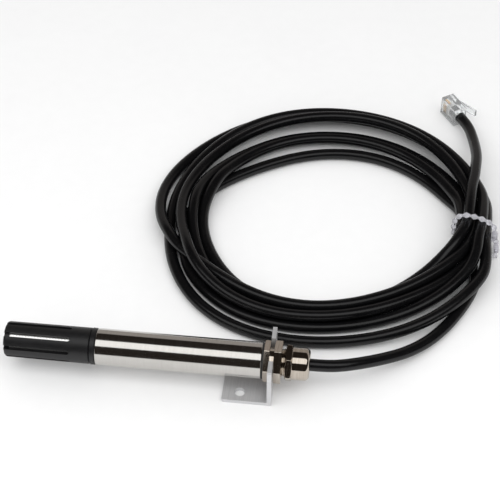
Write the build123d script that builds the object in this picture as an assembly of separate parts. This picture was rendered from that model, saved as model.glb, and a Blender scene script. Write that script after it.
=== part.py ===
"""Duct probe for temperature and humidity, on a small angle bracket, with its coiled cable and plug.

Frame: millimetres, +Z up, origin at the middle of the underside of the bracket's foot.
The probe's axis runs along X, with the slotted filter cap at -X and the cable gland at +X.
"""
import os
from math import cos, pi, radians, sin, sqrt, tan

from build123d import *

# Fits shared by the pieces
fit_gap = 0.05
slip_gap = 0.15

# Angle bracket, cut from an extruded angle
bracket_thickness = 1.7
bracket_foot = 20.0
bracket_above_hole = 1.15
bracket_width = 25.0
bracket_corner = 0.6
foot_corner = 0.8
foot_hole_d = 4.2
foot_hole_from_end = 7.0
foot_hole_from_side = 4.5
tube_above_foot = 3.6

# Probe tube
tube_od = 15.0
tube_wall = 0.8
tube_length = 67.2
tube_end_wall = 4.5
tube_end_lip = 0.8
tube_edge = 0.3

# Rear stack: gasket ring and lock nut
gasket_thickness = 0.6
gasket_inset = 0.1
lock_nut_wall = 1.4
lock_nut_thickness = 2.4
lock_nut_turn = 130.0
nut_bevel = 0.2
nut_bevel_depth = 0.1

# Cable gland
gland_hex_wall = 1.6
gland_hex_length = 3.2
gland_hex_turn = 133.0
gland_bore_gap = 0.6
gland_lip = 0.4
clamp_thread_step = 0.1
clamp_thread_length = 6.6
clamp_thread_gap = 1.4
thread_pitch = 1.27
thread_depth = 0.5
thread_flank = 0.4
cage_wall = 0.6
cage_seat = 1.0
cage_overhang = 1.6
cage_slits = 6
cage_slit_width = 0.6
dome_wall = 0.75
dome_flat_rise = 0.2
dome_hex_length = 2.8
dome_hex_turn = 93.0
dome_bevel = 0.9
dome_length = 9.8
dome_shoulder = 2.0
dome_mouth_edge = 0.5

# Slotted filter cap
cap_length = 37.3
cap_step = 0.15
cap_taper = 0.15
cap_wall = 1.7
cap_end_wall = 2.2
cap_collar = 10.3
cap_lip = 2.3
cap_lip_rise = 0.12
cap_groove = 0.35
cap_tip_round = 1.0
slot_count = 8
slot_width = 1.7
slot_phase = 26.0
slot_into_end = 0.5

# Filter gauze inside the cap
gauze_wall = 0.35
gauze_overlap = 1.5

# Sensor holder and its seal ring
holder_depth = 12.0
spigot_length = 8.0
spigot_edge = 0.4
seal_section = 1.0
seal_from_tube = 4.0

# Sensor board and the parts soldered to it
board_width = 6.0
board_thickness = 1.0
board_tip_gap = 7.0
board_behind_holder = 12.0
humidity_chip = (3.0, 3.0, 1.0)
humidity_chip_from_tip = 1.2
converter_chip = (5.0, 4.0, 1.4)
converter_from_end = 5.5
capacitor = (1.6, 0.8, 0.8)
capacitor_pitch = 1.9
capacitor_from_chip = 1.8
chip_edge = 0.1

# Cable and its cores
cable_d = 5.0
cable_inside = 7.0
core_d = 1.0
core_spread = 1.5
core_pad_pitch = 1.5
core_pad_length = 2.5

# Coil of cable: outline on the table, bundle at the tie
coil_outer = (75.0, 77.3)
coil_outer_centre = (23.0, 94.0)
coil_inner = (55.0, 46.5)
coil_inner_centre = (26.2, 89.5)
coil_inner_turn = 10.0
coil_height = 10.0
coil_round = 3.0
bundle_x = (81.9, 97.3)
bundle_z = (2.8, 16.7)
bundle_y = (79.5, 103.5)
bundle_round = 4.6
tie_y = 90.0

# Beaded cable tie
tie_bead_d = 2.6
tie_string_d = 1.3
tie_bead_count = 20
tie_seat = 4.8
tie_head = (3.0, 4.4, 5.0)
tie_head_z = 5.4
tie_head_round = 0.8
tie_tail_beads = 5
tie_tail_pitch = 3.1
tie_tail_out = 0.8
tie_tab = (2.6, 5.6, 2.6)
tie_tab_bead = 3
tie_tab_round = 1.0

# Modular plug, lying on its side
plug_length = 11.6
plug_width = 9.65
plug_thickness = 6.6
plug_edge = 0.35
plug_turn = 123.4
plug_place = (82.7, 169.9)
plug_jacket_depth = 5.0
plug_contact_count = 6
plug_contact_pitch = 1.02
plug_contact = (3.4, 2.4, 0.35)
plug_contact_from_front = 1.1
plug_contact_sink = 0.5
plug_core_d = 0.8
plug_core_level = 0.6
plug_window = (3.2, 1.2)
plug_window_wall = 0.6
plug_latch_width = 3.3
plug_latch_thickness = 1.0
plug_latch_root = 1.8
plug_latch_nose = 0.6
plug_latch_overhang = 1.2
plug_latch_rise = 4.4

# Route of the lead, from the gland to the coil, and of the tail, from the coil to the plug
lead_points_after_gland = [
    (31.6, 0.0, 12.8),
    (38.8, 2.0, 12.1),
    (46.6, 6.4, 9.8),
    (54.6, 12.0, 6.8),
    (62.6, 18.4, 4.4),
    (70.4, 26.0, 3.0),
    (77.2, 34.8, 2.6),
    (82.8, 44.2, 2.6),
    (87.2, 53.4, 2.6),
    (90.4, 62.8, 2.6),
]
tail_points_before_plug = [
    (87.4, 103.5, 14.2),
    (87.8, 111.0, 14.0),
    (88.8, 119.3, 13.2),
    (89.8, 127.8, 11.8),
    (90.4, 136.4, 9.8),
    (90.5, 145.0, 7.7),
    (89.8, 153.4, 5.9),
]
plug_last_run = 7.4

# Diameters and heights that follow from the sizes above
tube_bore = tube_od - 2 * tube_wall
gland_thread_d = tube_bore - 2 * tube_end_lip
lock_nut_flats = gland_thread_d + 2 * lock_nut_wall
gland_hex_flats = gland_thread_d + 2 * gland_hex_wall
clamp_thread_d = gland_thread_d - 2 * clamp_thread_step
cage_bore = clamp_thread_d - 2 * thread_depth - 2 * gland_lip
cage_od = cage_bore - 2 * fit_gap
seal_od = cage_od - 2 * cage_wall - 2 * fit_gap
gland_bore = cable_d + 2 * gland_bore_gap
dome_bore = clamp_thread_d + 2 * fit_gap
dome_d = dome_bore + 2 * dome_wall
dome_flats = dome_d + 2 * dome_flat_rise
cap_od = tube_od - 2 * cap_step
cap_tip_od = cap_od - 2 * cap_taper
cap_bore = cap_od - 2 * cap_wall
plate_hole_d = gland_thread_d + 2 * slip_gap
axis_height = bracket_thickness + tube_above_foot + tube_od / 2
bracket_height = axis_height + plate_hole_d / 2 + bracket_above_hole

# Places along the axis
plate_right = bracket_foot / 2
plate_left = plate_right - bracket_thickness
nut_left = plate_left - lock_nut_thickness
tube_right = nut_left - gasket_thickness
tube_left = tube_right - tube_length
hex_right = plate_right + gland_hex_length
dome_left = hex_right + clamp_thread_gap
dome_right = dome_left + dome_length
clamp_right = hex_right + clamp_thread_length
cap_right = tube_left
cap_left = cap_right - cap_length
cage_right = clamp_right + cage_overhang
shoulder_in = cage_right + slip_gap
thread_left = tube_right - tube_end_wall + fit_gap
cage_left = hex_right - cage_seat
board_left = cap_left + cap_end_wall + board_tip_gap
holder_right = tube_left + holder_depth
board_right = holder_right + board_behind_holder
cable_left = thread_left - cable_inside
converter_x = board_right - converter_from_end


def turned(points):
    """A solid of revolution about the probe's axis, from (x, radius) points."""
    return Pos(0, 0, axis_height) * revolve(make_face(Polyline(*points, close=True)), Axis.X)


def hexagon(x_left, x_right, flats, turn):
    """A hexagonal bar along the probe's axis, one flat's normal at the given turn from +Y."""
    outline = RegularPolygon(flats / 2, 6, major_radius=False, rotation=turn - 30)
    bar = extrude(Plane.YZ * outline, x_right - x_left)
    return Pos(x_left, 0, axis_height) * bar


def bevelled_hexagon(x_left, x_right, flats, turn, bevel):
    """A hexagonal bar with its corners turned off at both ends, as on a nut."""
    corner = flats / (2 * cos(radians(30)))
    low = flats / 2 - nut_bevel_depth
    barrel = turned([
        (x_left, 0),
        (x_left, low),
        (x_left + bevel, corner),
        (x_right - bevel, corner),
        (x_right, low),
        (x_right, 0),
    ])
    return hexagon(x_left, x_right, flats, turn) & barrel


def bored(x_left, x_right, diameter):
    """A plain cylinder on the probe's axis, to cut a bore or to make a ring."""
    return turned([(x_left, 0), (x_left, diameter / 2), (x_right, diameter / 2), (x_right, 0)])


def cord_tube(points, diameter):
    """A round tube along straight runs with arcs as large as the shorter run at each corner allows."""
    radii = []
    for before, corner, after in zip(points, points[1:], points[2:]):
        run_in = Vector(*corner) - Vector(*before)
        run_out = Vector(*after) - Vector(*corner)
        half_turn = radians(run_in.get_angle(run_out) / 2)
        radii.append(0.45 * min(run_in.length, run_out.length) / tan(half_turn))
    path = FilletPolyline(*points, radius=radii)
    section = Plane(origin=path @ 0, z_dir=path % 0) * Circle(diameter / 2)
    return sweep(section, path=path), radii, path.length


def angle_bracket():
    """L of extruded angle: foot on the table, upright with an open slot for the gland, two screw holes."""
    foot = Pos(0, 0, bracket_thickness / 2) * Box(bracket_foot, bracket_width, bracket_thickness)
    upright_x = plate_right - bracket_thickness / 2
    upright = Pos(upright_x, 0, bracket_height / 2) * Box(bracket_thickness, bracket_width, bracket_height)
    upright = fillet(upright.edges().filter_by(Axis.X).group_by(Axis.Z)[-1], bracket_corner)
    foot = fillet(foot.edges().filter_by(Axis.Z).group_by(Axis.X)[0], foot_corner)
    body = foot + upright
    body -= bored(plate_left - 1, plate_right + 1, plate_hole_d)
    slot = Box(2 * bracket_thickness, plate_hole_d, bracket_height, align=(Align.CENTER, Align.CENTER, Align.MIN))
    body -= Pos(upright_x, 0, axis_height) * slot
    hole_y = bracket_width / 2 - foot_hole_from_side
    hole_x = foot_hole_from_end - bracket_foot / 2
    for side in (-1, 1):
        hole = Cylinder(foot_hole_d / 2, 2 * bracket_thickness)
        body -= Pos(hole_x, side * hole_y, bracket_thickness / 2) * hole
    return body


def probe_tube():
    """Turned and plated tube, open at the cap end, with a thick rear end for the gland's thread."""
    inner = tube_bore / 2
    outer = tube_od / 2
    hole = gland_thread_d / 2 + fit_gap
    return turned([
        (tube_left, inner),
        (tube_left, outer - tube_edge),
        (tube_left + tube_edge, outer),
        (tube_right - tube_edge, outer),
        (tube_right, outer - tube_edge),
        (tube_right, hole),
        (tube_right - tube_end_wall, hole),
        (tube_right - tube_end_wall, inner),
    ])


def end_gasket():
    """Flat black ring between the tube's end and the lock nut."""
    ring = bored(tube_right, nut_left, tube_od - 2 * gasket_inset)
    return ring - bored(tube_right - 1, nut_left + 1, gland_thread_d + 2 * fit_gap)


def lock_nut():
    """Thin hexagon nut that clamps the bracket against the gland."""
    nut = bevelled_hexagon(nut_left, plate_left, lock_nut_flats, lock_nut_turn, nut_bevel)
    return nut - bored(nut_left - 1, plate_left + 1, gland_thread_d + 2 * fit_gap)


def clamp_thread_profile():
    """Crests and roots of the clamping thread, from the hexagon to its free end."""
    points = []
    crest = clamp_thread_d / 2
    x = hex_right
    while x + thread_pitch <= clamp_right:
        points.append((x, crest - thread_depth))
        points.append((x + thread_flank * thread_pitch, crest))
        points.append((x + (1 - thread_flank) * thread_pitch, crest))
        x += thread_pitch
    points.append((x, crest - thread_depth))
    points.append((clamp_right, crest - thread_depth))
    return points


def gland_body():
    """Plated brass gland: connecting thread, hexagon and clamping thread, bored for the cable."""
    core = turned([
        (thread_left, gland_bore / 2),
        (thread_left, gland_thread_d / 2),
        (plate_right, gland_thread_d / 2),
        (hex_right, gland_thread_d / 2),
        *clamp_thread_profile(),
        (clamp_right, cage_bore / 2),
        (cage_left, cage_bore / 2),
        (cage_left, gland_bore / 2),
    ])
    collar = bevelled_hexagon(plate_right, hex_right, gland_hex_flats, gland_hex_turn, nut_bevel)
    collar -= bored(plate_right - 1, hex_right + 1, gland_thread_d - fit_gap)
    return core + collar


def gland_cage():
    """Plastic claw that presses the seal on to the cable, slit from its free end."""
    ring = bored(cage_left, cage_right, cage_od)
    ring -= bored(cage_left - 1, cage_right + 1, cage_od - 2 * cage_wall)
    slit_length = cage_right - hex_right
    for index in range(cage_slits):
        slit = Box(2 * slit_length, cage_slit_width, cage_od, align=(Align.MIN, Align.CENTER, Align.MIN))
        slit = Rot(index * 360 / cage_slits, 0, 0) * slit
        ring -= Pos(hex_right, 0, axis_height) * slit
    return ring


def gland_seal():
    """Rubber bush around the cable, inside the claw."""
    ring = bored(cage_left, cage_right, seal_od)
    return ring - bored(cage_left - 1, cage_right + 1, cable_d + 2 * fit_gap)


def dome_nut():
    """Domed clamping nut: a short hexagon, then a round dome with the cable's mouth."""
    inner = dome_bore / 2
    mouth = cable_d / 2 + slip_gap
    hex_end = dome_left + dome_hex_length
    outer = dome_d / 2
    profile = Polyline((dome_left, inner), (dome_left, outer), (dome_right - dome_shoulder, outer))
    profile += RadiusArc(
        (dome_right - dome_shoulder, outer),
        (dome_right, outer - dome_shoulder),
        dome_shoulder,
    )
    profile += Polyline(
        (dome_right, outer - dome_shoulder),
        (dome_right, mouth + dome_mouth_edge),
        (dome_right - dome_mouth_edge, mouth),
        (shoulder_in, mouth),
        (shoulder_in, inner),
        (dome_left, inner),
    )
    dome = Pos(0, 0, axis_height) * revolve(make_face(profile), Axis.X)
    collar = bevelled_hexagon(dome_left, hex_end, dome_flats, dome_hex_turn, dome_bevel)
    return dome + (collar - bored(dome_left - 1, hex_end + 1, dome_d - fit_gap))


def filter_cap():
    """Moulded cap: smooth collar with a lip, then ribs with open slots between them to the tip."""
    outer = cap_od / 2
    tip = cap_tip_od / 2
    inner = cap_bore / 2
    lip = outer + cap_lip_rise
    shell = turned([
        (cap_right, inner),
        (cap_right, lip - cap_groove),
        (cap_right - cap_groove, lip),
        (cap_right - cap_lip + cap_groove, lip),
        (cap_right - cap_lip, outer - cap_groove),
        (cap_right - cap_lip - cap_groove, outer),
        (cap_left + cap_tip_round, tip),
        (cap_left + 0.3 * cap_tip_round, tip - 0.3 * cap_tip_round),
        (cap_left, tip - cap_tip_round),
        (cap_left, 0),
        (cap_left + cap_end_wall, 0),
        (cap_left + cap_end_wall, inner),
    ])
    slot_right = cap_right - cap_collar
    slot_length = slot_right - cap_left + 1
    slot_floor = inner - slot_into_end
    slot_notch = lip + 1 - slot_floor
    for index in range(slot_count):
        slot = Box(slot_length, slot_width, slot_notch, align=(Align.MAX, Align.CENTER, Align.MIN))
        slot += Pos(0, 0, slot_notch / 2) * Cylinder(slot_width / 2, slot_notch)
        slot = Pos(slot_right - slot_width / 2, 0, slot_floor) * slot
        turn = slot_phase + index * 360 / slot_count - 90
        shell -= Pos(0, 0, axis_height) * (Rot(turn, 0, 0) * slot)
    return shell


def filter_gauze():
    """Sleeve of fine wire gauze that lines the slots."""
    left = cap_left + cap_end_wall
    right = cap_right - cap_collar + gauze_overlap
    ring = bored(left, right, cap_bore - 2 * fit_gap)
    return ring - bored(left - 1, right + 1, cap_bore - 2 * fit_gap - 2 * gauze_wall)


def sensor_holder():
    """Plastic insert: pressed into the tube, with a grooved spigot for the cap and a slot for the board."""
    in_tube = tube_bore / 2 - fit_gap
    spigot = cap_bore / 2 - fit_gap
    seal_x = tube_left - seal_from_tube
    half = seal_section / 2 + fit_gap
    floor = cap_bore / 2 - seal_section - 2 * fit_gap
    insert = turned([
        (tube_left - spigot_length, 0),
        (tube_left - spigot_length, spigot - spigot_edge),
        (tube_left - spigot_length + spigot_edge, spigot),
        (seal_x - half, spigot),
        (seal_x - half, floor),
        (seal_x + half, floor),
        (seal_x + half, spigot),
        (tube_left, spigot),
        (tube_left, in_tube),
        (holder_right, in_tube),
        (holder_right, 0),
    ])
    slot_length = holder_depth + spigot_length + 2
    slot = Box(slot_length, board_width + 2 * fit_gap, board_thickness + 2 * fit_gap)
    slot_middle = tube_left + (holder_depth - spigot_length) / 2
    return insert - Pos(slot_middle, 0, axis_height) * slot


def cap_seal():
    """Rubber ring in the holder's groove, which keeps the cap on."""
    middle = cap_bore / 2 - fit_gap - seal_section / 2
    ring = Rot(0, 90, 0) * Torus(middle, seal_section / 2)
    return Pos(tube_left - seal_from_tube, 0, axis_height) * ring


def sensor_board():
    """Narrow circuit board through the holder, its tip inside the filter cap."""
    length = board_right - board_left
    return Pos(board_left + length / 2, 0, axis_height) * Box(length, board_width, board_thickness)


def on_board(size, x_middle, y_middle=0.0):
    """A soldered part standing on the board's upper face."""
    block = Box(*size, align=(Align.CENTER, Align.CENTER, Align.MIN))
    block = chamfer(block.edges().group_by(Axis.Z)[-1], chip_edge)
    return Pos(x_middle, y_middle, axis_height + board_thickness / 2) * block


def humidity_sensor():
    """Sensing chip at the tip of the board, with its round vent."""
    x_middle = board_left + humidity_chip_from_tip + humidity_chip[0] / 2
    chip = on_board(humidity_chip, x_middle)
    vent_depth = humidity_chip[2] / 2
    top = axis_height + board_thickness / 2 + humidity_chip[2]
    return chip - Pos(x_middle, 0, top) * Cylinder(humidity_chip[1] / 4, 2 * vent_depth)


def board_capacitors():
    """Pair of chip capacitors beside the converter."""
    x_middle = converter_x - converter_chip[0] / 2 - capacitor_from_chip
    turned_size = (capacitor[1], capacitor[0], capacitor[2])
    pair = [on_board(turned_size, x_middle, side * capacitor_pitch / 2) for side in (-1, 1)]
    return Compound(children=pair)


def core_wires():
    """Four cores, from the cut end of the jacket to pads at the back of the board."""
    wires = []
    level = axis_height + board_thickness / 2 + core_d / 2
    reach = cable_left - board_right
    for index in range(4):
        start_y = core_spread * (-0.5 if index < 2 else 0.5)
        start_z = axis_height + core_spread * (0.5 if index in (1, 2) else -0.5)
        pad_y = (index - 1.5) * core_pad_pitch
        points = [
            (cable_left, start_y, start_z),
            (cable_left - 0.3 * reach, start_y, start_z),
            (cable_left - 0.7 * reach, pad_y, level),
            (board_right - core_pad_length, pad_y, level),
        ]
        wires.append(cord_tube(points, core_d)[0])
    return wires


def tie_loop_points():
    """Rounded rectangle around the bundle, in the plane across it: straight sides and quarter turns."""
    reach = tie_bead_d / 2 + 2 * fit_gap
    low = (bundle_x[0] - reach, bundle_z[0] - reach)
    high = (bundle_x[1] + reach, bundle_z[1] + reach)
    corner = bundle_round + reach
    middle_x = (low[0] + high[0]) / 2
    middle_z = (low[1] + high[1]) / 2
    outline = RectangleRounded(high[0] - low[0], high[1] - low[1], corner)
    plane = Plane(origin=(middle_x, tie_y, middle_z), x_dir=(1, 0, 0), z_dir=(0, -1, 0))
    return (plane * outline).wire(), high[0]


def cable_tie():
    """Beaded plastic tie: a string of beads round the bundle, its locking head and its loose end."""
    loop, outside = tie_loop_points()
    section = Plane(origin=loop @ 0, z_dir=loop % 0) * Circle(tie_string_d / 2)
    tie = sweep(section, path=loop)
    for index in range(tie_bead_count):
        spot = loop @ (index / tie_bead_count)
        tie += Pos(*spot) * Sphere(tie_bead_d / 2)
    head_x = outside + tie_head[0] / 2 - tie_string_d / 2
    head = Pos(head_x, tie_y, tie_head_z) * Box(*tie_head)
    tie += fillet(head.edges(), tie_head_round)
    tail_length = tie_tail_beads * tie_tail_pitch
    drop = tie_head_z - tie_bead_d / 2 - fit_gap
    run = sqrt(tail_length**2 - drop**2 - tie_tail_out**2)
    step = Vector(tie_tail_out, -run, -drop) / tie_tail_beads
    spot = Vector(head_x, tie_y, tie_head_z)
    tie += Solid.make_cylinder(tie_string_d / 2, tail_length, Plane(origin=spot, z_dir=step))
    for index in range(tie_tail_beads):
        spot = spot + step
        is_tab = index == tie_tab_bead
        bead = fillet(Box(*tie_tab).edges(), tie_tab_round) if is_tab else Sphere(tie_bead_d / 2)
        tie += Pos(*spot) * bead
    return tie


def cable_coil(seats):
    """Outer shape of the coiled cable: a flat ring, gathered into a round bundle under the tie."""
    outer = Pos(*coil_outer_centre) * Ellipse(*coil_outer)
    inner = Pos(*coil_inner_centre) * (Rot(0, 0, coil_inner_turn) * Ellipse(*coil_inner))
    ring = extrude(outer - inner, coil_height)
    ring = fillet(ring.edges(), coil_round)
    middle_x = (bundle_x[0] + bundle_x[1]) / 2
    bundle_width = bundle_x[1] - bundle_x[0]
    ring -= Pos(middle_x, tie_y, 0) * Box(3 * bundle_width, tie_seat, 4 * coil_height)
    bundle = Pos(middle_x, (bundle_y[0] + bundle_y[1]) / 2, (bundle_z[0] + bundle_z[1]) / 2) * Box(
        bundle_width, bundle_y[1] - bundle_y[0], bundle_z[1] - bundle_z[0]
    )
    ring += fillet(bundle.edges().filter_by(Axis.Y), bundle_round)
    for seat in seats:
        ring -= seat
    return ring


def plug_frame(shape):
    """Places a shape from the plug's own frame: length along X, contacts towards +Y, resting on Z."""
    return Pos(*plug_place, plug_width / 2) * (Rot(0, 0, plug_turn) * shape)


def contact_levels():
    """Heights of the plug's contacts, side by side across its width."""
    span = (plug_contact_count - 1) * plug_contact_pitch
    return [index * plug_contact_pitch - span / 2 for index in range(plug_contact_count)]


def plug_body():
    """Clear plug moulded in one with its latch: cable mouth, core channels and contact slots."""
    block = Pos(plug_length / 2, 0, 0) * Box(plug_length, plug_thickness, plug_width)
    block = chamfer(block.edges().filter_by(Axis.X), plug_edge)
    window_x = plug_jacket_depth - plug_window[0] / 2 - plug_window_wall
    latch_foot = plug_length - plug_latch_thickness
    side = -plug_thickness / 2
    latch = make_face(Polyline(
        (plug_length, side),
        (plug_length, side - plug_latch_thickness),
        (latch_foot, side - plug_latch_thickness - plug_latch_nose),
        (-plug_latch_overhang, side - plug_latch_rise - plug_latch_thickness),
        (-plug_latch_overhang, side - plug_latch_rise),
        (latch_foot - plug_latch_root + plug_edge, side - plug_latch_nose),
        (latch_foot - plug_latch_root, side),
        close=True,
    ))
    block += Pos(0, 0, -plug_latch_width / 2) * extrude(latch, plug_latch_width)
    mouth = Rot(0, 90, 0) * Cylinder(cable_d / 2 + fit_gap, 2 * plug_jacket_depth)
    block -= mouth
    block -= Pos(window_x, -plug_thickness / 2, 0) * Box(plug_window[0], 2 * plug_window[1], plug_width / 2)
    contact_x = plug_length - plug_contact_from_front - plug_contact[0] / 2
    core_right = plug_length - plug_contact_from_front
    core_length = core_right - plug_jacket_depth
    for level in contact_levels():
        channel = Rot(0, 90, 0) * Cylinder(plug_core_d / 2 + fit_gap, core_length)
        block -= Pos(plug_jacket_depth + core_length / 2, plug_core_level, level) * channel
        slot_depth = plug_thickness / 2 - plug_core_level - plug_core_d / 2
        slot = Box(
            plug_contact[0] + 2 * fit_gap,
            slot_depth + 1,
            plug_contact[2] + 2 * fit_gap,
            align=(Align.CENTER, Align.MIN, Align.CENTER),
        )
        block -= Pos(contact_x, plug_thickness / 2 - slot_depth, level) * slot
    return plug_frame(block)


def plug_contacts():
    """Gold-plated blades, one over each core, a little below the plug's face."""
    contact_x = plug_length - plug_contact_from_front - plug_contact[0] / 2
    low = plug_core_level + plug_core_d / 2 + fit_gap
    high = plug_thickness / 2 - plug_contact_sink
    blades = []
    for level in contact_levels():
        blade = Pos(contact_x, (low + high) / 2, level) * Box(plug_contact[0], high - low, plug_contact[2])
        blades.append(plug_frame(blade))
    return Compound(children=blades)


def plug_cores():
    """Cores of the cable inside the plug, one in each channel."""
    right = plug_length - plug_contact_from_front - fit_gap
    length = right - plug_jacket_depth
    cores = []
    for level in contact_levels():
        core = Rot(0, 90, 0) * Cylinder(plug_core_d / 2, length)
        cores.append(plug_frame(Pos(plug_jacket_depth + length / 2, plug_core_level, level) * core))
    return Compound(children=cores)


def plug_jacket():
    """End of the cable's jacket, gripped inside the plug."""
    stub = Rot(0, 90, 0) * Cylinder(cable_d / 2, plug_jacket_depth)
    return plug_frame(Pos(plug_jacket_depth / 2, 0, 0) * stub)


lead_points = [(dome_right, 0.0, axis_height)] + lead_points_after_gland
lead_tube, lead_radii, lead_length = cord_tube(lead_points, cable_d)
lead_seat = cord_tube(lead_points_after_gland, cable_d + 2 * slip_gap)[0]

plug_way = Vector(cos(radians(plug_turn)), sin(radians(plug_turn)), 0)
plug_entry = Vector(*plug_place, plug_width / 2)
before_plug = plug_entry - plug_way * plug_last_run
tail_points = tail_points_before_plug + [tuple(before_plug), tuple(plug_entry)]
tail_tube, tail_radii, tail_length = cord_tube(tail_points, cable_d)
tail_seat = cord_tube(tail_points, cable_d + 2 * slip_gap)[0]

wire_names = ("core_wire_red", "core_wire_black", "core_wire_green", "core_wire_yellow")
pieces = {
    "mounting_bracket": angle_bracket(),
    "probe_tube": probe_tube(),
    "end_gasket": end_gasket(),
    "lock_nut": lock_nut(),
    "gland_body": gland_body(),
    "gland_cage": gland_cage(),
    "gland_seal": gland_seal(),
    "dome_nut": dome_nut(),
    "filter_cap": filter_cap(),
    "filter_gauze": filter_gauze(),
    "sensor_holder": sensor_holder(),
    "cap_seal": cap_seal(),
    "sensor_board": sensor_board(),
    "humidity_sensor": humidity_sensor(),
    "converter_chip": on_board(converter_chip, converter_x),
    "board_capacitors": board_capacitors(),
    "cable_end": bored(cable_left, dome_right, cable_d),
    "cable_lead": lead_tube,
    "cable_coil": cable_coil([lead_seat, tail_seat]),
    "cable_tail": tail_tube,
    "cable_tie": cable_tie(),
    "plug_body": plug_body(),
    "plug_contacts": plug_contacts(),
    "plug_cores": plug_cores(),
    "plug_jacket": plug_jacket(),
    **dict(zip(wire_names, core_wires())),
}

os.makedirs("parts", exist_ok=True)
for name, piece in pieces.items():
    export_step(piece, f"parts/{name}.step")

section_area = pi * cable_d**2 / 4
print("lead radii", [round(radius, 1) for radius in lead_radii])
print("tail radii", [round(radius, 1) for radius in tail_radii])
print("lead volume", round(lead_tube.volume, 1), "section x length", round(section_area * lead_length, 1))
print("tail volume", round(tail_tube.volume, 1), "section x length", round(section_area * tail_length, 1))
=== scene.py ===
import bpy
import numpy as np
from mathutils import Matrix, Vector


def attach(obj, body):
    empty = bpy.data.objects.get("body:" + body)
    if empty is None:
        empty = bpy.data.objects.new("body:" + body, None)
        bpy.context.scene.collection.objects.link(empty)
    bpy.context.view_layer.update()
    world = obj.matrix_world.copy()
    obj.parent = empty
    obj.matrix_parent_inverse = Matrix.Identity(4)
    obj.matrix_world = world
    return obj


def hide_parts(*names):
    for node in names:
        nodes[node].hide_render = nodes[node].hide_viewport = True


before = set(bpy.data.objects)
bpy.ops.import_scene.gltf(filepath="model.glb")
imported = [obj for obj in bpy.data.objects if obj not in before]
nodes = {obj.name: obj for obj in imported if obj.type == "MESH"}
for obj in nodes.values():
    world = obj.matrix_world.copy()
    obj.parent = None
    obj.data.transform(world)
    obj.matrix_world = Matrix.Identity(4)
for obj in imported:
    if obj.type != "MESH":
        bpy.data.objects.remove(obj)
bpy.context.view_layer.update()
MM = 0.001


# Angle bracket: a 25 mm length sawn from a 20 x 20 mm extruded aluminium angle.
# Two screws hold its foot, and the gland's thread sits in an open slot in its upright.
def finish_of(name):
    """A new material, as its node tree and its Principled shader."""
    material = bpy.data.materials.new(name)
    material.use_nodes = True
    tree = material.node_tree
    return material, tree, tree.nodes["Principled BSDF"]


def add(tree, kind, inputs=(), **settings):
    """A node of that kind, with its settings, and input sockets set to values or linked to outputs."""
    node = tree.nodes.new(kind)
    for key, value in settings.items():
        setattr(node, key, value)
    for socket, value in dict(inputs).items():
        if isinstance(value, bpy.types.NodeSocket):
            tree.links.new(value, node.inputs[socket])
        else:
            node.inputs[socket].default_value = value
    return node


def object_place(tree, scale):
    """Object coordinates in millimetres, stretched by the given scale along X, Y and Z."""
    place = add(tree, "ShaderNodeTexCoord")
    stretch = [1000 * value for value in scale]
    return add(tree, "ShaderNodeMapping", {"Vector": place.outputs["Object"], "Scale": stretch}).outputs[0]


def spread(tree, value, low, high):
    """A value from 0 to 1 laid out between a low and a high figure."""
    node = add(tree, "ShaderNodeMapRange", {"Value": value, "To Min": low, "To Max": high})
    return node.outputs["Result"]


def tint(tree, value, dark, light):
    """A value from 0 to 1 laid out between two colours."""
    node = add(tree, "ShaderNodeMix", {"Factor": value}, data_type="RGBA")
    node.inputs["A"].default_value = (*dark, 1)
    node.inputs["B"].default_value = (*light, 1)
    return node.outputs["Result"]


def two_scale_grain():
    """Group: coarse and fine noise over a place, added up as one mask, and the fine one as a height."""
    group = bpy.data.node_groups.new("two_scale_grain", "ShaderNodeTree")
    sockets = {"Place": "NodeSocketVector", "Coarse": "NodeSocketFloat", "Fine": "NodeSocketFloat"}
    for name, kind in sockets.items():
        group.interface.new_socket(name, in_out="INPUT", socket_type=kind)
    for name in ("Mask", "Height"):
        group.interface.new_socket(name, in_out="OUTPUT", socket_type="NodeSocketFloat")
    start = group.nodes.new("NodeGroupInput")
    end = group.nodes.new("NodeGroupOutput")
    coarse = add(group, "ShaderNodeTexNoise", {
        "Vector": start.outputs["Place"], "Scale": start.outputs["Coarse"], "Detail": 3.0})
    fine = add(group, "ShaderNodeTexNoise", {
        "Vector": start.outputs["Place"], "Scale": start.outputs["Fine"], "Detail": 2.0})
    both = add(group, "ShaderNodeMath", {0: coarse.outputs[0], 1: fine.outputs[0]}, operation="ADD")
    half = add(group, "ShaderNodeMath", {0: both.outputs[0], 1: 0.5}, operation="MULTIPLY")
    clear = add(group, "ShaderNodeMapRange", {"Value": half.outputs[0], "From Min": 0.3, "From Max": 0.7})
    group.links.new(clear.outputs["Result"], end.inputs["Mask"])
    group.links.new(fine.outputs[0], end.inputs["Height"])
    return group


grain_group = two_scale_grain()


def grain(tree, scale, coarse, fine):
    """The grain group in a material: returns its mask and its height."""
    node = tree.nodes.new("ShaderNodeGroup")
    node.node_tree = grain_group
    tree.links.new(object_place(tree, scale), node.inputs["Place"])
    node.inputs["Coarse"].default_value = coarse
    node.inputs["Fine"].default_value = fine
    return node.outputs["Mask"], node.outputs["Height"]


def bump(tree, shader, height, depth_mm, strength):
    """A height as relief on the shader's normal."""
    node = add(tree, "ShaderNodeBump", {"Height": height, "Distance": depth_mm * MM, "Strength": strength})
    tree.links.new(node.outputs["Normal"], shader.inputs["Normal"])


def dull_edges(tree, shader, facing, glancing):
    """Reflection that falls off where a surface turns away, as on a scuffed skin."""
    turned = add(tree, "ShaderNodeLayerWeight", {"Blend": 0.5}).outputs["Facing"]
    node = add(tree, "ShaderNodeMapRange", {
        "Value": turned, "From Min": 0.3, "From Max": 0.9, "To Min": facing, "To Max": glancing})
    tree.links.new(node.outputs["Result"], shader.inputs["Specular IOR Level"])


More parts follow.
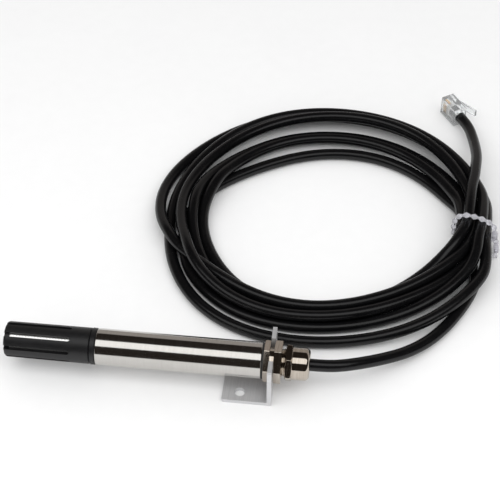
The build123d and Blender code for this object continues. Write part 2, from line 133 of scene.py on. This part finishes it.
def satin_aluminium():
    """Extruded aluminium: fine lines along Y, the way it left the die."""
    material, tree, shader = finish_of("satin_aluminium")
    mask, height = grain(tree, (6.0, 0.12, 6.0), 0.5, 2.2)
    tree.links.new(tint(tree, mask, (0.56, 0.56, 0.57), (0.72, 0.72, 0.73)), shader.inputs["Base Color"])
    tree.links.new(spread(tree, mask, 0.36, 0.52), shader.inputs["Roughness"])
    shader.inputs["Metallic"].default_value = 0.6
    bump(tree, shader, height, 0.02, 0.25)
    return material


def dress(node, material):
    """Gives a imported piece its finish."""
    piece = nodes[node]
    piece.data.materials.clear()
    piece.data.materials.append(material)


dress("mounting_bracket", satin_aluminium())


# Probe tube: turned brass, 15 mm across, nickel plated and polished to a mirror.
# Its rear end is thick and threaded for the gland, and its front end takes the sensor holder.
axis_height = 12.8
around = np.linspace(0, 2 * np.pi, 192, endpoint=False)


def piece_of(name, patches, material, slot, *replaced):
    """One object from grids of points in millimetres.
    A patch is points[u, v] with two flags, for closing the grid along u and along v.
    Each four neighbours make a face, and a patch whose volume comes out negative is turned round."""
    corners = []
    faces = []
    count = 0
    for points, close_u, close_v in patches:
        rows, columns = points.shape[:2]
        index = np.arange(rows * columns).reshape(rows, columns)
        if close_u:
            index = np.vstack([index, index[:1]])
        if close_v:
            index = np.hstack([index, index[:, :1]])
        quads = np.stack([index[:-1, :-1], index[1:, :-1], index[1:, 1:], index[:-1, 1:]], -1).reshape(-1, 4)
        flat = points.reshape(-1, 3)
        middle = flat.mean(0)
        first, second, third, fourth = (flat[quads[:, k]] - middle for k in range(4))
        volume = np.einsum("ij,ij->", first, np.cross(second, third) + np.cross(third, fourth))
        corners.append(flat)
        faces.append((quads if volume > 0 else quads[:, ::-1]) + count)
        count += len(flat)
    mesh = bpy.data.meshes.new(name)
    mesh.from_pydata((np.vstack(corners) * MM).tolist(), [], np.vstack(faces).tolist())
    mesh.validate()
    mesh.polygons.foreach_set("use_smooth", np.ones(len(mesh.polygons), bool))
    mesh.materials.append(material)
    piece = bpy.data.objects.new(name, mesh)
    bpy.context.scene.collection.objects.link(piece)
    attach(piece, "root")
    if replaced:
        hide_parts(*replaced)
    return piece


def eased_outline(points, ease):
    """A closed outline with each corner replaced by a quadratic curve from ease before it to ease after it.
    One more point on each side, at 1.6 times ease, keeps the flats beside it flat in the shading."""
    corner = np.array(points, float)
    before = np.roll(corner, 1, 0) - corner
    after = np.roll(corner, -1, 0) - corner
    reach = np.minimum(np.linalg.norm(before, axis=1), np.linalg.norm(after, axis=1))
    cut = np.minimum(ease, 0.3 * reach)[:, None]
    before /= np.linalg.norm(before, axis=1)[:, None]
    after /= np.linalg.norm(after, axis=1)[:, None]
    share = np.linspace(0, 1, 6)[:, None, None]
    curve = (1 - share) ** 2 * (corner + cut * before) + 2 * share * (1 - share) * corner
    curve = curve + share**2 * (corner + cut * after)
    rows = [(corner + 1.6 * cut * before)[None], curve, (corner + 1.6 * cut * after)[None]]
    return np.concatenate(rows).transpose(1, 0, 2).reshape(-1, 2)


def turned_points(x, radius):
    """Points about the probe's axis: at each x, a circle with the given radius at each angle."""
    radius = np.broadcast_to(radius, (len(x), len(around)))
    across = np.broadcast_to(x[:, None], radius.shape)
    return np.stack([across, radius * np.cos(around), axis_height + radius * np.sin(around)], -1)


def mirror_nickel(name, dark, light, low, high):
    """Plating over turned brass: faint rings round the axis and a slow change of gloss."""
    material, tree, shader = finish_of(name)
    mask, height = grain(tree, (2.4, 0.10, 0.10), 0.4, 1.8)
    tree.links.new(tint(tree, mask, dark, light), shader.inputs["Base Color"])
    tree.links.new(spread(tree, mask, low, high), shader.inputs["Roughness"])
    shader.inputs["Metallic"].default_value = 1.0
    bump(tree, shader, height, 0.004, 0.08)
    return material


tube_left = -61.9
tube_right = 5.3
tube_outline = eased_outline([
    (tube_left, 6.7),
    (tube_left, 7.2),
    (tube_left + 0.3, 7.5),
    (tube_right - 0.3, 7.5),
    (tube_right, 7.2),
    (tube_right, 5.95),
    (tube_right - 4.5, 5.95),
    (tube_right - 4.5, 6.7),
], 0.15)
tube_nickel = mirror_nickel("polished_nickel", (0.53, 0.515, 0.49), (0.59, 0.575, 0.55), 0.09, 0.14)
piece_of(
    "polished_tube",
    [(turned_points(tube_outline[:, 0], tube_outline[:, 1:]), True, True)],
    tube_nickel,
    "polished_nickel",
    "probe_tube",
)


# Flat black rubber ring, clamped between the tube's end and the lock nut.
# It is cut from sheet, and its edge shows as a thin dark line.
def black_rubber():
    """Matt rubber with a fine bloom."""
    material, tree, shader = finish_of("black_rubber")
    mask, height = grain(tree, (1.0, 1.0, 1.0), 0.6, 6.0)
    colour = tint(tree, mask, (0.012, 0.012, 0.012), (0.024, 0.024, 0.024))
    tree.links.new(colour, shader.inputs["Base Color"])
    tree.links.new(spread(tree, mask, 0.55, 0.72), shader.inputs["Roughness"])
    bump(tree, shader, height, 0.02, 0.3)
    return material


rubber = black_rubber()
for ring in ("end_gasket", "cap_seal", "gland_seal"):
    dress(ring, rubber)


# Lock nut, gland and domed clamping nut: turned from brass bar and nickel plated.
# They screw together through the bracket's upright, and the domed nut squeezes the seal on to the cable.
def hexagon_limit(flats, turn):
    """Distance from the axis to a hexagon's side: half its flats / cos(angle from the side's normal)."""
    sixth = np.pi / 3
    from_normal = (around - np.radians(turn) + sixth / 2) % sixth - sixth / 2
    return flats / 2 / np.cos(from_normal)


def softly_lower(first, second, blend):
    """The lower of two radii, eased over the blend: minus blend times the log of both exponentials added."""
    low = np.minimum(first, second)
    return low - blend * np.log1p(np.exp(-np.abs(first - second) / blend))


def nut_points(outline, flats, turn):
    """A turned outline cut by a hexagon, with softened edges between the two."""
    radius = softly_lower(outline[:, 1:], hexagon_limit(flats, turn)[None], 0.035)
    return turned_points(outline[:, 0], radius)


def densely(outline, step):
    """The same closed outline with more points, none further apart than about the step."""
    following = np.roll(outline, -1, 0)
    length = np.linalg.norm(following - outline, axis=1)
    parts = [
        start + (end - start) * np.linspace(0, 1, max(1, int(np.ceil(size / step))), endpoint=False)[:, None]
        for start, end, size in zip(outline, following, length)
    ]
    return np.vstack(parts)


gland_nickel = mirror_nickel("plated_brass", (0.42, 0.36, 0.30), (0.62, 0.57, 0.51), 0.05, 0.10)
nut_bevel = 0.2
around = np.linspace(0, 2 * np.pi, 360, endpoint=False)

nut_left = 5.9
plate_left = 8.3
lock_outline = densely(eased_outline([
    (nut_left, 5.95),
    (nut_left, 7.2),
    (nut_left + nut_bevel, 8.43),
    (plate_left - nut_bevel, 8.43),
    (plate_left, 7.2),
    (plate_left, 5.95),
], 0.12), 0.12)
piece_of(
    "thin_lock_nut",
    [(nut_points(lock_outline, 14.6, 130.0), True, True)],
    gland_nickel,
    "plated_brass",
    "lock_nut",
)

plate_right = 10.0
hex_right = 13.2
clamp_right = 19.8
thread_pitch = 1.27
thread_depth = 0.5
thread_crest = 5.8
gland_outline = densely(eased_outline([
    (0.85, 3.1),
    (0.85, 5.9),
    (plate_right, 5.9),
    (plate_right, 7.4),
    (plate_right + nut_bevel, 8.66),
    (hex_right - nut_bevel, 8.66),
    (hex_right, 7.4),
    (hex_right, thread_crest),
    (clamp_right, thread_crest),
    (clamp_right, 4.9),
    (12.2, 4.9),
    (12.2, 3.1),
], 0.12), 0.14)
gland_points = nut_points(gland_outline, 15.0, 133.0)
turn_share = (gland_outline[:, :1] - hex_right) / thread_pitch - around[None] / (2 * np.pi)
groove = 0.5 + 0.5 * np.cos(2 * np.pi * turn_share)
threaded = (gland_outline[:, 0] > hex_right + 0.02) & (gland_outline[:, 0] < clamp_right - 0.05)
threaded &= gland_outline[:, 1] > thread_crest - 0.2
from_axis = gland_points - [0, 0, axis_height]
shrink = 1 - thread_depth * groove / thread_crest * threaded[:, None]
gland_points = from_axis * np.stack([np.ones_like(shrink), shrink, shrink], -1) + [0, 0, axis_height]
piece_of("cable_gland", [(gland_points, True, True)], gland_nickel, "plated_brass", "gland_body")

dome_left = 14.6
dome_hex_right = 17.4
dome_bevel = 0.5
dome_right = 24.4
shoulder = 2.0
quarter = np.linspace(np.pi / 2, 0, 13)
shoulder_arc = np.stack([
    dome_right - shoulder + shoulder * np.cos(quarter), 4.6 + shoulder * np.sin(quarter)], 1)
dome_outline = densely(np.vstack([
    eased_outline([
        (21.55, 5.85),
        (dome_left, 5.85),
        (dome_left, 6.7),
        (dome_left + dome_bevel, 7.85),
        (dome_hex_right - dome_bevel, 7.85),
        (dome_hex_right, 6.6),
        (19.0, 6.6),
    ], 0.12)[8:-3],
    shoulder_arc,
    [(dome_right, 3.3), (dome_right - 0.06, 3.12), (23.9, 2.68), (21.55, 2.65), (21.55, 5.85)],
]), 0.14)
piece_of(
    "domed_nut",
    [(nut_points(dome_outline, 13.6, 93.0), True, True)],
    gland_nickel,
    "plated_brass",
    "dome_nut",
)


# Filter cap: black moulded plastic with eight slots, pushed on to the sensor holder.
# Air reaches the sensor through the slots and the gauze behind them.
def black_plastic():
    """Spark-eroded mould texture: a fine even grain with a satin sheen."""
    material, tree, shader = finish_of("black_plastic")
    mask, height = grain(tree, (1.0, 1.0, 1.0), 0.5, 5.0)
    colour = tint(tree, mask, (0.005, 0.005, 0.0055), (0.010, 0.010, 0.011))
    tree.links.new(colour, shader.inputs["Base Color"])
    tree.links.new(spread(tree, mask, 0.34, 0.46), shader.inputs["Roughness"])
    dull_edges(tree, shader, 0.42, 0.10)
    bump(tree, shader, height, 0.03, 0.25)
    return material


dress("filter_cap", black_plastic())


# Filter gauze: plain weave of fine stainless wire, rolled into a sleeve that lines the slots.
# Wires pass over and under each other in turn, so that its face is an even field of small crowns.
def steel_wire():
    """Bright drawn steel."""
    material, tree, shader = finish_of("steel_gauze")
    mask, height = grain(tree, (1.5, 1.5, 1.5), 0.8, 4.0)
    tree.links.new(tint(tree, mask, (0.70, 0.70, 0.69), (0.86, 0.86, 0.85)), shader.inputs["Base Color"])
    tree.links.new(spread(tree, mask, 0.16, 0.26), shader.inputs["Roughness"])
    shader.inputs["Metallic"].default_value = 1.0
    bump(tree, shader, height, 0.004, 0.2)
    return material


gauze_left = -96.95
gauze_right = -70.8
gauze_outer = 5.57
gauze_inner = 5.28
weave_rise = 0.022
weave_pitch = 0.62


def woven_sleeve():
    """Sleeve about the axis, plain inside.
    Outside, radius = outer + rise * sin(pi x / pitch) * sin(pi arc / pitch)."""
    x = np.linspace(gauze_left, gauze_right, 200)
    wires = 2 * int(np.pi * gauze_outer / weave_pitch)
    over_under = np.sin(np.pi * (x - gauze_left) / weave_pitch)[:, None] * np.sin(wires / 2 * around)[None]
    outer = turned_points(x, gauze_outer + weave_rise * over_under)
    inner = turned_points(x[[-1, 0]], np.full((2, 1), gauze_inner))
    return np.concatenate([outer, inner])


piece_of("woven_gauze", [(woven_sleeve(), True, True)], steel_wire(), "steel_gauze", "filter_gauze")


# Sensor holder, board and its parts: a moulded insert that carries a narrow circuit board.
# The humidity sensor sits at the board's tip inside the cap, and the cable's cores are soldered to its back.
def small_part(name, dark, light, low, high, metallic=0.0):
    """A plain moulded or plated finish: two near colours and two roughnesses over a soft grain."""
    material, tree, shader = finish_of(name)
    mask, height = grain(tree, (1.0, 1.0, 1.0), 0.7, 5.0)
    tree.links.new(tint(tree, mask, dark, light), shader.inputs["Base Color"])
    tree.links.new(spread(tree, mask, low, high), shader.inputs["Roughness"])
    shader.inputs["Metallic"].default_value = metallic
    bump(tree, shader, height, 0.01, 0.2)
    return material


white_plastic = small_part("white_plastic", (0.70, 0.69, 0.66), (0.78, 0.77, 0.74), 0.38, 0.5)
dress("sensor_holder", white_plastic)
dress("gland_cage", white_plastic)
dress("sensor_board", small_part("green_board", (0.010, 0.085, 0.035), (0.016, 0.12, 0.05), 0.25, 0.4))
dress("humidity_sensor", small_part("white_chip", (0.72, 0.72, 0.70), (0.80, 0.80, 0.78), 0.4, 0.5))
dress("converter_chip", small_part("black_chip", (0.014, 0.014, 0.015), (0.028, 0.028, 0.029), 0.45, 0.6))
dress("board_capacitors", small_part("tan_capacitor", (0.34, 0.22, 0.12), (0.42, 0.29, 0.17), 0.3, 0.45))
dress("core_wire_red", small_part("core_red", (0.42, 0.015, 0.012), (0.52, 0.025, 0.02), 0.35, 0.45))
dress("core_wire_black", small_part("core_black", (0.012, 0.012, 0.012), (0.02, 0.02, 0.02), 0.35, 0.45))
dress("core_wire_green", small_part("core_green", (0.02, 0.22, 0.04), (0.03, 0.29, 0.06), 0.35, 0.45))
dress("core_wire_yellow", small_part("core_yellow", (0.62, 0.42, 0.02), (0.72, 0.50, 0.03), 0.35, 0.45))


# Cable: 5 mm round lead in black PVC, one length from the gland through the coil to the plug.
# It leaves the gland level, sinks to the table, makes six loose turns held by a tie, and ends in the plug.
cable_diameter = 5.0
lead = [
    (24.4, 0.0, 12.8),
    (31.6, 0.0, 12.8),
    (38.8, 2.0, 12.1),
    (46.6, 6.4, 9.8),
    (54.6, 12.0, 6.8),
    (62.8, 18.1, 4.4),
    (70.9, 25.6, 3.0),
    (77.9, 34.4, 2.6),
    (83.6, 43.9, 2.6),
    (88.0, 53.2, 2.6),
    (91.0, 62.7, 2.6),
    (90.9, 71.0, 2.6),
    (89.2, 79.5, 3.0),
]
tail = [
    (87.0, 97.0, 13.7),
    (87.4, 103.5, 14.2),
    (87.8, 111.0, 14.0),
    (89.1, 119.3, 13.2),
    (89.8, 127.8, 11.8),
    (90.4, 136.4, 9.8),
    (89.9, 145.0, 7.7),
    (88.9, 153.4, 5.9),
    (86.77, 163.72, 4.825),
    (82.7, 169.9, 4.825),
]
coil_middle = (24.6, 92.0)
opening_angles = [0, 13, 22, 48, 70, 92, 126, 151, 164, 184, 201, 220, 244, 276, 295, 324, 338, 352, 360]
opening_radii = [
    57.5, 57.0, 53.0, 49.0, 46.0, 43.0, 42.3, 45.4, 50.6, 53.8,
    53.0, 53.2, 53.2, 49.6, 48.6, 50.8, 55.2, 57.6, 57.5,
]
# Each turn from the tie round again: distance outside the coil's opening, and height, every 45 degrees
turn_lanes = [
    (4.3, 3.2, 3.4, 2.5, 8.5, 16.6, 10.4, 14.8),
    (10.4, 21.8, 27.2, 30.4, 13.8, 24.4, 18.2, 27.2),
    (12.8, 24.0, 29.2, 32.8, 24.4, 4.2, 4.6, 3.6),
    (7.3, 21.4, 25.4, 25.0, 10.2, 13.0, 9.6, 9.2),
    (9.5, 12.8, 15.8, 16.8, 5.4, 8.4, 6.8, 6.4),
    (2.1, 7.0, 10.8, 12.4, 2.5, 3.0, 3.3, 1.7),
]
turn_levels = [
    (3.9, 2.6, 2.6, 2.6, 2.6, 2.6, 2.6, 5.6),
    (12.3, 7.6, 7.6, 7.2, 3.5, 2.6, 2.6, 8.0),
    (7.6, 2.6, 2.6, 2.6, 2.8, 7.2, 7.2, 7.5),
    (8.35, 10.4, 10.2, 7.5, 7.5, 7.2, 7.2, 7.5),
    (3.9, 2.6, 2.6, 2.6, 8.5, 2.6, 2.6, 2.8),
    (8.5, 7.5, 7.5, 6.5, 3.5, 2.6, 2.6, 2.8),
]
# Places of the seven passes in the tied bundle, two, three and two on top of each other
bundle_x = np.array([86.4, 92.5, 94.9, 89.4, 91.6, 84.2, 86.6])
bundle_z = np.array([3.9, 12.3, 7.6, 8.35, 3.9, 8.5, 12.95])
bundle_lean = 0.25
tie_y = 90.0
points_per_turn = 48


def eased(values, half_width):
    """A running mean with a raised-cosine weight, the ends held."""
    weight = np.hanning(2 * half_width + 3)[1:-1]
    held = np.concatenate([np.full(half_width, values[0]), values, np.full(half_width, values[-1])])
    return np.convolve(held, weight / weight.sum(), "valid")


def laid_turns():
    """Turns as they were laid: radius = opening + lane at each angle, drawn into the bundle by the tie."""
    angle = np.arange(0, 360 * len(turn_lanes) + 1, 360 / points_per_turn)
    steps = 45.0 * np.arange(8 * len(turn_lanes) + 1)
    lane = eased(np.interp(angle, steps, [*np.ravel(turn_lanes), 4.5]), 6)
    level = eased(np.interp(angle, steps, [*np.ravel(turn_levels), 12.95]), 6)
    radius = eased(np.interp(angle % 360, opening_angles, opening_radii), 3) + lane
    spread_out = np.stack([
        coil_middle[0] + radius * np.cos(np.radians(angle)),
        coil_middle[1] + radius * np.sin(np.radians(angle)),
        level,
    ], 1)
    nearest = np.round(angle / 360).astype(int)
    from_tie = angle - 360 * nearest
    along = 66.0 * np.radians(from_tie)
    bundled_x = bundle_x[nearest] + bundle_lean * np.minimum(along, 0)
    bundled = np.stack([bundled_x, tie_y + along, bundle_z[nearest]], 1)
    hold = np.clip((24 - np.abs(from_tie)) / 20, 0, 1)
    hold = (hold * hold * (3 - 2 * hold))[:, None]
    return hold * bundled + (1 - hold) * spread_out


def settled(route, held, rounds=200):
    """The route after its turns have pushed each other apart, sunk a little and come to rest on the table.
    In each round every point moves away from runs nearer than a diameter, towards where it was laid,
    towards the middle of its neighbours' shifts, and down; held points stay."""
    room = cable_diameter + 0.2
    place = route.copy()
    number = np.arange(len(route))
    beside = np.abs(number[:, None] - number[None, :-1] - 0.5) < 5
    for _ in range(rounds):
        start = place[:-1]
        run = place[1:] - start
        from_start = place[:, None] - start[None]
        share = np.clip((from_start * run[None]).sum(2) / (run**2).sum(1), 0, 1)
        apart = from_start - share[..., None] * run[None]
        gap = np.sqrt((apart**2).sum(2)) + 1e-9
        lack = np.where(beside, 0, np.clip(room - gap, 0, None))
        push = apart / gap[..., None] * (0.3 * lack)[..., None]
        move = push.sum(1) + 0.01 * (route - place)
        move[:-1] -= (push * (1 - share)[..., None]).sum(0)
        move[1:] -= (push * share[..., None]).sum(0)
        move[:, 2] -= 0.02
        shift = place - route
        move[1:-1] += 0.25 * (0.5 * (shift[:-2] + shift[2:]) - shift[1:-1])
        move[held] = 0
        place = place + np.clip(move, -0.6, 0.6)
        place[:, 2] = np.maximum(place[:, 2], 0.51 * cable_diameter)
    return place


def black_sheath():
    """Extruded PVC: nearly black, satin, with faint long marks from the die."""
    material, tree, shader = finish_of("black_cable")
    mask, height = grain(tree, (0.25, 0.25, 0.25), 0.5, 4.0)
    colour = tint(tree, mask, (0.0022, 0.0022, 0.0026), (0.0045, 0.0045, 0.005))
    tree.links.new(colour, shader.inputs["Base Color"])
    tree.links.new(spread(tree, mask, 0.20, 0.28), shader.inputs["Roughness"])
    dull_edges(tree, shader, 0.34, 0.02)
    bump(tree, shader, height, 0.05, 0.06)
    return material


turns = laid_turns()
route = np.vstack([lead, turns, tail])
held = np.ones(len(route), bool)
held[len(lead) - 2:len(lead) + len(turns)] = False
held[len(lead):len(lead) + len(turns):points_per_turn] = True
route = settled(route, held)

sheath = black_sheath()
cable_curve = bpy.data.curves.new("black_cable", "CURVE")
cable_curve.dimensions = "3D"
cable_curve.bevel_depth = cable_diameter / 2 * MM
cable_curve.bevel_resolution = 6
cable_curve.use_fill_caps = True
cable_curve.resolution_u = 5
spline = cable_curve.splines.new("NURBS")
spline.points.add(len(route) - 1)
spline.points.foreach_set("co", np.hstack([route * MM, np.ones((len(route), 1))]).ravel())
spline.order_u = 3
spline.use_endpoint_u = True
spline.use_smooth = True
cable_curve.materials.append(sheath)
cable = bpy.data.objects.new("black_cable", cable_curve)
bpy.context.scene.collection.objects.link(cable)
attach(cable, "root")
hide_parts("cable_lead", "cable_coil", "cable_tail")
dress("cable_end", sheath)
dress("plug_jacket", sheath)


# Cable tie: a string of beads in milky plastic, pulled through a small head and drawn tight.
# Its loose end lies beside the coil, with a flat tab between two beads.
def milky_plastic():
    """Unfilled nylon: light passes a little way in."""
    material, tree, shader = finish_of("clear_tie")
    mask, height = grain(tree, (1.0, 1.0, 1.0), 0.6, 4.0)
    tree.links.new(tint(tree, mask, (0.82, 0.82, 0.87), (0.92, 0.91, 0.95)), shader.inputs["Base Color"])
    tree.links.new(spread(tree, mask, 0.14, 0.24), shader.inputs["Roughness"])
    shader.inputs["Transmission Weight"].default_value = 0.65
    shader.inputs["IOR"].default_value = 1.45
    bump(tree, shader, height, 0.01, 0.15)
    return material


bead_radius = 1.25
string_radius = 0.6
bead_count = 16
tie_middle = (89.55, 8.7)
tie_half = (9.05, 8.0)
squareness = 2.0 / 2.6
loop_y = 88.8
loop_lean = 1.2
loop_top = 0.97
loop_slant = 0.18


def beaded_string(path, closed, bead_places, across):
    """Round string along a path.
    At distance d from a bead's middle, radius = bead + 0.3 - hypot(0.3, 0.62 d), but at least the string's."""
    if closed:
        way = np.roll(path, -1, 0) - np.roll(path, 1, 0)
    else:
        way = np.gradient(path, axis=0)
    way /= np.linalg.norm(way, axis=1)[:, None]
    second = np.cross(way, across)
    second /= np.linalg.norm(second, axis=1)[:, None]
    third = np.cross(way, second)
    gap = np.linalg.norm(path[:, None] - bead_places[None], axis=2).min(1)
    radius = np.maximum(bead_radius + 0.3 - np.hypot(0.3, 0.62 * gap), string_radius)
    side = np.linspace(0, 2 * np.pi, 16, endpoint=False)[:, None]
    ring = np.cos(side) * second[:, None] + np.sin(side) * third[:, None]
    return path[:, None] + radius[:, None, None] * ring


def rounded_block(middle, size):
    """Superellipsoid: sines and cosines of two angles, each raised to the power 0.35 with its sign kept."""
    tilt = np.linspace(-np.pi / 2, np.pi / 2, 25)[:, None]
    turn = np.linspace(0, 2 * np.pi, 48, endpoint=False)[None]
    power = 0.35

    def flattened(value):
        return np.sign(value) * np.abs(value) ** power

    x = flattened(np.cos(tilt)) * flattened(np.cos(turn))
    y = flattened(np.cos(tilt)) * flattened(np.sin(turn))
    z = np.broadcast_to(flattened(np.sin(tilt)), x.shape)
    return np.array(middle) + np.stack([x, y, z], -1) * np.array(size) / 2


fine = np.linspace(0, 2 * np.pi, 4001)
sideways = np.sign(np.cos(fine)) * np.abs(np.cos(fine)) ** squareness
upward = np.sign(np.sin(fine)) * np.abs(np.sin(fine)) ** squareness
upward = upward * np.where(upward > 0, loop_top - loop_slant * sideways, 1)
loop = np.stack([
    tie_middle[0] + tie_half[0] * sideways,
    loop_y - loop_lean * sideways,
    tie_middle[1] + tie_half[1] * upward,
], 1)
run_length = np.concatenate([[0], np.cumsum(np.linalg.norm(np.diff(loop, axis=0), axis=1))])
even = np.linspace(0, run_length[-1], 24 * bead_count + 1)[:-1]
loop = np.stack([np.interp(even, run_length, loop[:, k]) for k in range(3)], 1)
loop_beads = loop[::24]
loop_beads = loop_beads[loop_beads[:, 2] > bead_radius + 0.1]
head_place = np.array([tie_middle[0] + tie_half[0] + 0.3, loop_y - loop_lean, 7.4])
loose_points = np.array([
    head_place,
    (99.5, 87.0, 5.0),
    (99.9, 84.6, 3.2),
    (99.8, 82.2, 2.2),
    (99.3, 80.2, 1.6),
])
loose_share = np.linspace(0, 4, 160)
loose_path = np.stack([eased(np.interp(loose_share, range(5), loose_points[:, k]), 16) for k in range(3)], 1)
piece_of(
    "beaded_tie",
    [
        (beaded_string(loop, True, loop_beads, np.array([0, 1.0, 0])), True, True),
        (beaded_string(loose_path, False, loose_path[[44, -4]], np.array([1.0, 0, 0])), False, True),
        (rounded_block(head_place, (2.4, 3.0, 3.2)), False, True),
        (rounded_block(loose_path[84], (2.2, 4.6, 2.4)), False, True),
    ],
    milky_plastic(),
    "clear_tie",
    "cable_tie",
)


# Modular plug: clear polycarbonate, moulded in one piece with its latch, and crimped on the cable.
# Six gold-plated blades bite into the cores behind its front face.
def clear_plug():
    """Clear polycarbonate with a very slight smoke and fine mould polish."""
    material, tree, shader = finish_of("clear_plug")
    mask, height = grain(tree, (1.0, 1.0, 1.0), 0.5, 3.0)
    tree.links.new(tint(tree, mask, (0.93, 0.95, 0.96), (0.98, 0.99, 0.99)), shader.inputs["Base Color"])
    tree.links.new(spread(tree, mask, 0.02, 0.06), shader.inputs["Roughness"])
    shader.inputs["Transmission Weight"].default_value = 0.9
    shader.inputs["IOR"].default_value = 1.4
    shadow = add(tree, "ShaderNodeLightPath").outputs["Is Shadow Ray"]
    tree.links.new(spread(tree, shadow, 1.0, 0.3), shader.inputs["Alpha"])
    bump(tree, shader, height, 0.01, 0.08)
    return material


dress("plug_body", clear_plug())
dress("plug_contacts", small_part("gold_contact", (0.80, 0.50, 0.20), (0.92, 0.62, 0.28), 0.16, 0.28, 1.0))
dress("plug_cores", small_part("core_white", (0.70, 0.68, 0.66), (0.80, 0.78, 0.76), 0.35, 0.45))


# Table, room and light: a pale table under one large soft light, a dim room on the viewer's side
# and a grey wall beyond, which the polished tube mirrors as bands.
def pale_table():
    """Near-white matt laminate with the faintest mottling."""
    material, tree, shader = finish_of("pale_table")
    mask, height = grain(tree, (0.05, 0.05, 0.05), 0.5, 3.0)
    tree.links.new(tint(tree, mask, (0.88, 0.88, 0.88), (0.90, 0.90, 0.90)), shader.inputs["Base Color"])
    shader.inputs["Roughness"].default_value = 0.9
    shader.inputs["Specular IOR Level"].default_value = 0.1
    return material


table_reach = 3.0
table_mesh = bpy.data.meshes.new("table")
table_mesh.from_pydata(
    [(-table_reach, -table_reach, 0), (table_reach, -table_reach, 0), (table_reach, table_reach, 0),
     (-table_reach, table_reach, 0)],
    [],
    [(0, 1, 2, 3)],
)
table_mesh.materials.append(pale_table())
table = bpy.data.objects.new("table", table_mesh)
bpy.context.scene.collection.objects.link(table)

world = bpy.data.worlds.new("room")
world.use_nodes = True
room = world.node_tree
backdrop = room.nodes["Background"]
way = add(room, "ShaderNodeSeparateXYZ", {0: add(room, "ShaderNodeTexCoord").outputs["Generated"]})
steep = add(room, "ShaderNodeMath", {
    0: way.outputs["Z"], 1: -1.19, 2: way.outputs["Y"]}, operation="MULTIPLY_ADD")
wall = add(room, "ShaderNodeMapRange", {"Value": steep.outputs[0], "From Min": -0.06, "From Max": 0.06})
seen = tint(room, wall.outputs["Result"], (0.024, 0.019, 0.016), (0.42, 0.39, 0.37))
path = add(room, "ShaderNodeLightPath")
opaque = add(room, "ShaderNodeMath", {
    0: path.outputs["Is Glossy Ray"],
    1: path.outputs["Is Transmission Ray"],
}, operation="SUBTRACT", use_clamp=True)
mirrored = add(room, "ShaderNodeMix", {"Factor": opaque.outputs[0]}, data_type="RGBA")
mirrored.inputs["A"].default_value = (0.80, 0.80, 0.80, 1)
room.links.new(seen, mirrored.inputs["B"])
room.links.new(mirrored.outputs["Result"], backdrop.inputs["Color"])
bpy.context.scene.world = world

softbox = bpy.data.lights.new("softbox", "AREA")
softbox.shape = "RECTANGLE"
softbox.size = 1.7
softbox.size_y = 0.56
softbox.energy = 4.4
softbox_object = bpy.data.objects.new("softbox", softbox)
softbox_object.location = (0.0, -0.28, 0.71)
bpy.context.scene.collection.objects.link(softbox_object)

camera_place = Vector((0.0428, -0.3738, 0.4584))
looking = Vector((-0.0793, 0.6964, -0.7133))
camera_data = bpy.data.cameras.new("camera")
camera_data.sensor_width = 36.0
camera_data.lens = 104.4
camera = bpy.data.objects.new("camera", camera_data)
turn = looking.to_track_quat("-Z", "Y").to_matrix().to_4x4()
camera.matrix_world = Matrix.Translation(camera_place) @ turn
bpy.context.scene.collection.objects.link(camera)
bpy.context.scene.camera = camera
bpy.context.scene.view_settings.view_transform = "Standard"
